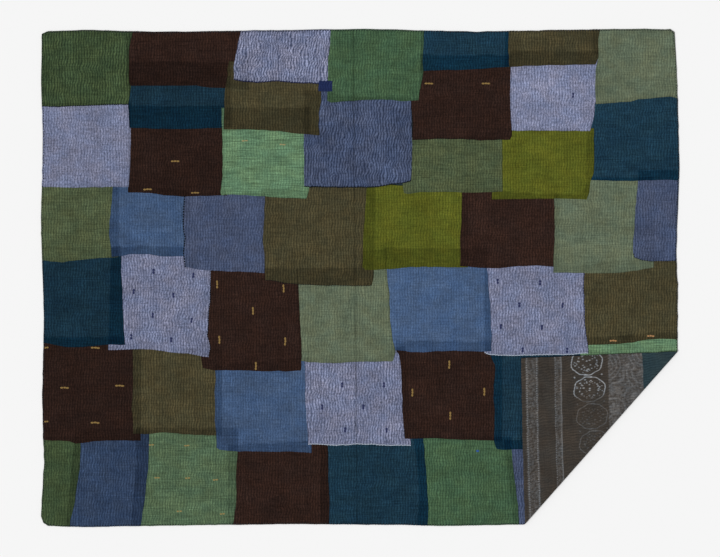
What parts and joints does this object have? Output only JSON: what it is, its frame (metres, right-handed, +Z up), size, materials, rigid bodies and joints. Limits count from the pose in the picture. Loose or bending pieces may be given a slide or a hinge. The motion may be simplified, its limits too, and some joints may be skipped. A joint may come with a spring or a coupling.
{
  "type": "kantha quilt",
  "caption": "Rectangular patchwork coverlet quilted in fine puckered rows, lying flat and face up with one corner turned over to show its patterned back.",
  "frame": {"origin": "on the ground plane under the middle of the quilt", "axes": "+X along the quilt's long side, +Y towards its upper edge in the plane of the cloth, +Z up, out of its face; the turned corner is at +X and -Y"},
  "size_m": [1.9127, 1.494, 0.0087],
  "materials": {
    "pieced_cotton": "worn sheer cotton patches in greens, blues, lavender and browns, finely puckered, matt",
    "dark_border_cotton": "dark brown cotton with pale woven bands and small rosettes, matt",
    "teal_cotton": "plain dark teal cotton, matt",
    "navy_cotton": "plain navy cotton, matt"
  },
  "bodies": {
    "root": {"pieced_top": "pieced_cotton", "back_border_panel": "dark_border_cotton", "back_field_panel": "teal_cotton", "mending_patch": "navy_cotton"}
  },
  "joints": []
}
